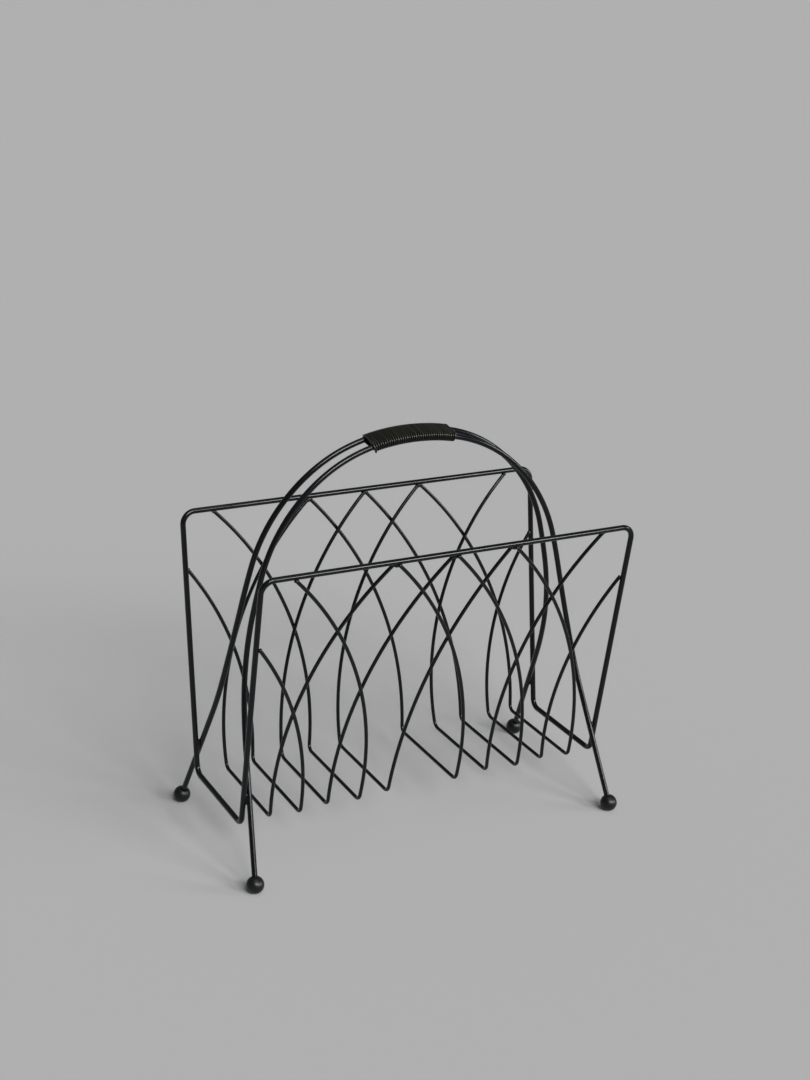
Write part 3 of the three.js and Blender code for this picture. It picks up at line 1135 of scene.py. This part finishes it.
class BASKET_OT_welds(bpy.types.Operator):
    """Lays a weld bead at each joint between two wires"""

    bl_idname = "basket.welds"
    bl_label = "Welds"

    def execute(self, context):
        bars, welds = context.scene.basket_bars, context.scene.basket_welds
        rim = rim_line()
        rim_points = fine_points([*rim, rim[0]], RIM_POINTS)
        wires = {node: wire_line(node, bars.basket_radius) for node in BASKET_WIRES}
        ends = end_joints(wires.values(), rim_points, bars.end_sink, welds.end_bead)
        closing = (rim[0][0] + rim[-1][0]) / 2
        joints = [
            *ends,
            *pair_joints(ends, welds.pair_bead),
            *crossing_joints(wires, welds.cross_bead),
            *hoop_joints(bars.frame_radius, rim_points, welds.hoop_bead),
            (closing, rim[0][1], Vector((0, 0, 1)), welds.butt_bead),
        ]

        mesh = bpy.data.meshes.new("weld_joints")
        mesh.from_pydata([joint[0] for joint in joints], [], [])
        for place, label in enumerate(("along", "facing", "half_size"), 1):
            values = mesh.attributes.new(label, "FLOAT_VECTOR", "POINT")
            for point, joint in zip(values.data, joints):
                point.vector = joint[place]
        holder = bpy.data.objects.new("weld_joints", mesh)
        context.scene.collection.objects.link(holder)
        piece = bake_tree(
            "weld_beads",
            holder,
            weld_bead_tree(),
            {"Unevenness": welds.unevenness, "Material": dipped_paint()},
        )
        finish_piece(piece, "painted_wire")
        return {"FINISHED"}


class BASKET_OT_ball_feet(bpy.types.Operator):
    """Turns the four ball feet about their legs, bored at the top and flat below"""

    bl_idname = "basket.ball_feet"
    bl_label = "Ball Feet"

    def execute(self, context):
        for side in SIDES:
            hoop = wire_line(f"{side}_hoop", context.scene.basket_bars.frame_radius)
            for centre, way in ((hoop[0][0], hoop[0][1]), (hoop[-1][0], -hoop[-1][1])):
                end = ENDS[centre.x > 0]
                self.turn_ball(context, f"{side}_{end}", centre, way)
        return {"FINISHED"}

    def turn_ball(self, context, place, centre, leg_way):
        """Turns one ball about its leg, and cuts it flat where it stands on the floor."""
        balls = context.scene.basket_balls
        low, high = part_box(f"foot_ball_{place}")
        bore = context.scene.basket_bars.frame_radius + balls.bore_clearance
        profile = ball_profile((high.x - low.x) / 2, bore, balls.lip, balls.segments // 2)
        shape = bmesh.new()
        corners = [shape.verts.new((across, 0, height)) for across, height in profile]
        edges = [shape.edges.new(pair) for pair in zip(corners, corners[1:])]
        bmesh.ops.spin(
            shape,
            geom=[*corners, *edges],
            axis=(0, 0, 1),
            cent=(0, 0, 0),
            steps=balls.segments,
            angle=2 * math.pi,
        )
        bmesh.ops.remove_doubles(shape, verts=shape.verts, dist=BALL_SEAM)
        upright = Vector((0, 0, 1)).rotation_difference(leg_way).to_matrix().to_4x4()
        shape.transform(Matrix.Translation(centre) @ upright)
        cut = bmesh.ops.bisect_plane(
            shape,
            geom=[*shape.verts, *shape.edges, *shape.faces],
            plane_co=(0, 0, low.z),
            plane_no=(0, 0, -1),
            clear_outer=True,
        )
        open_edges = [item for item in cut["geom_cut"] if isinstance(item, bmesh.types.BMEdge)]
        bmesh.ops.contextual_create(shape, geom=open_edges)
        bmesh.ops.recalc_face_normals(shape, faces=shape.faces)
        mesh = bpy.data.meshes.new(f"turned_ball_{place}")
        shape.to_mesh(mesh)
        shape.free()
        mesh.shade_smooth()
        mesh.set_sharp_from_angle(angle=BALL_CREASE)
        mesh.materials.append(ball_gloss())
        piece = bpy.data.objects.new(mesh.name, mesh)
        context.scene.collection.objects.link(piece)
        finish_piece(piece, "ball_feet", f"foot_ball_{place}")


class BASKET_OT_grip(bpy.types.Operator):
    """Winds the grip's cord round both hoops at the top of the arch"""

    bl_idname = "basket.grip"
    bl_label = "Grip"

    def execute(self, context):
        bars, grip = context.scene.basket_bars, context.scene.basket_grip
        lines = [wire_line(node, bars.frame_radius) for node in HOOPS]
        lines = [
            line if line[0][0].x < 0 else [(centre, -way) for centre, way in reversed(line)]
            for line in lines
        ]
        holder = curve_holder("grip_hoops", lines, GRIP_LINE_STEPS)
        crowns = [max(line, key=lambda place: place[0].z)[0] for line in lines]
        low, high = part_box("grip_winding")
        piece = bake_tree(
            "wound_grip_cord",
            holder,
            cord_winding_tree(),
            {
                "Wire Radius": bars.frame_radius,
                "Cord Radius": grip.cord_radius,
                "Cord Depth": grip.cord_depth,
                "Clearance": grip.clearance,
                "Length": grip.length,
                "Shift": (low.x + high.x) / 2,
                "Hoop Length": line_length(lines[0], GRIP_LINE_STEPS),
                "Wire Gap": (crowns[1] - crowns[0]).length,
                "Tail": grip.tail_length,
                "Turns": grip.turns,
                "Material": grip_cord(),
            },
        )
        finish_piece(piece, "grip_cord", "grip_winding")
        return {"FINISHED"}


class BASKET_OT_stage(bpy.types.Operator):
    """Lays the plain floor, sets the soft lights and places the camera"""

    bl_idname = "basket.stage"
    bl_label = "Stage"

    def execute(self, context):
        stage = context.scene.basket_stage
        self.lay_floor(context, stage)
        world = bpy.data.worlds.new("Soft Surround")
        world.use_nodes = True
        world.node_tree.nodes["Background"].inputs["Color"].default_value = opaque(stage.surround)
        context.scene.world = world
        for light in LIGHTS:
            self.hang_light(context, *light)
        self.place_camera(context, stage)
        context.scene.view_settings.view_transform = "Standard"
        return {"FINISHED"}

    def lay_floor(self, context, stage):
        """Lays a plain round floor under the basket."""
        shape = bmesh.new()
        bmesh.ops.create_circle(
            shape, cap_ends=True, radius=FLOOR_RADIUS, segments=FLOOR_SIDES
        )
        mesh = bpy.data.meshes.new("floor")
        shape.to_mesh(mesh)
        shape.free()
        material = bpy.data.materials.new("Plain Floor")
        material.use_nodes = True
        shader = material.node_tree.nodes["Principled BSDF"]
        shader.inputs["Base Color"].default_value = opaque(stage.floor)
        shader.inputs["Roughness"].default_value = 1.0
        shader.inputs["Specular IOR Level"].default_value = 0.0
        mesh.materials.append(material)
        floor = bpy.data.objects.new("floor", mesh)
        context.scene.collection.objects.link(floor)

    def hang_light(self, context, name, towards, spread, strength):
        """Sets one soft light that shines from the given way."""
        lamp = bpy.data.lights.new(name, "SUN")
        lamp.angle = math.radians(spread)
        lamp.energy = strength
        light = bpy.data.objects.new(name, lamp)
        light.rotation_euler = Vector(towards).to_track_quat("Z", "Y").to_euler()
        context.scene.collection.objects.link(light)

    def place_camera(self, context, stage):
        """Places the camera from its heading, its tilt down and its roll."""
        level = math.cos(CAMERA_PITCH)
        ahead = Vector(
            (math.sin(CAMERA_YAW) * level, math.cos(CAMERA_YAW) * level, -math.sin(CAMERA_PITCH))
        )
        right = Vector((math.cos(CAMERA_YAW), -math.sin(CAMERA_YAW), 0))
        down = ahead.cross(right)
        rolled_right = math.cos(CAMERA_ROLL) * right + math.sin(CAMERA_ROLL) * down
        rolled_down = math.cos(CAMERA_ROLL) * down - math.sin(CAMERA_ROLL) * right
        camera_data = bpy.data.cameras.new("Camera")
        camera_data.lens = stage.lens
        camera_data.sensor_width = SENSOR_WIDTH
        camera_data.clip_end = CAMERA_REACH
        camera = bpy.data.objects.new("Camera", camera_data)
        turn = Matrix((rolled_right, -rolled_down, -ahead)).transposed()
        camera.matrix_world = Matrix.Translation(CAMERA_PLACE) @ turn.to_4x4()
        context.scene.collection.objects.link(camera)
        context.scene.camera = camera


class BASKET_PT_panel(bpy.types.Panel):
    """Lists the basket's pieces and its stage"""

    bl_idname = "BASKET_PT_panel"
    bl_label = "Magazine Basket"
    bl_space_type = "VIEW_3D"
    bl_region_type = "UI"
    bl_category = "Basket"

    def draw(self, context):
        for operator in OPERATORS:
            self.layout.operator(operator.bl_idname)


PROPERTIES = {
    "basket_bars": BarSizes,
    "basket_welds": WeldSizes,
    "basket_balls": BallSizes,
    "basket_grip": GripSizes,
    "basket_finish": FinishColours,
    "basket_stage": StageSettings,
}
OPERATORS = [
    BASKET_OT_rim_frame,
    BASKET_OT_basket_wires,
    BASKET_OT_hoops,
    BASKET_OT_welds,
    BASKET_OT_ball_feet,
    BASKET_OT_grip,
    BASKET_OT_stage,
]


def register():
    for name, group in PROPERTIES.items():
        bpy.utils.register_class(group)
        setattr(bpy.types.Scene, name, bpy.props.PointerProperty(type=group))
    for operator in OPERATORS:
        bpy.utils.register_class(operator)
    bpy.utils.register_class(BASKET_PT_panel)


def unregister():
    bpy.utils.unregister_class(BASKET_PT_panel)
    for operator in reversed(OPERATORS):
        bpy.utils.unregister_class(operator)
    for name, group in PROPERTIES.items():
        delattr(bpy.types.Scene, name)
        bpy.utils.unregister_class(group)


def main():
    """Builds the basket and its stage."""
    register()
    bpy.ops.basket.rim_frame()
    bpy.ops.basket.basket_wires()
    bpy.ops.basket.hoops()
    bpy.ops.basket.welds()
    bpy.ops.basket.ball_feet()
    bpy.ops.basket.grip()
    bpy.ops.basket.stage()


if __name__ == "__main__":
    main()
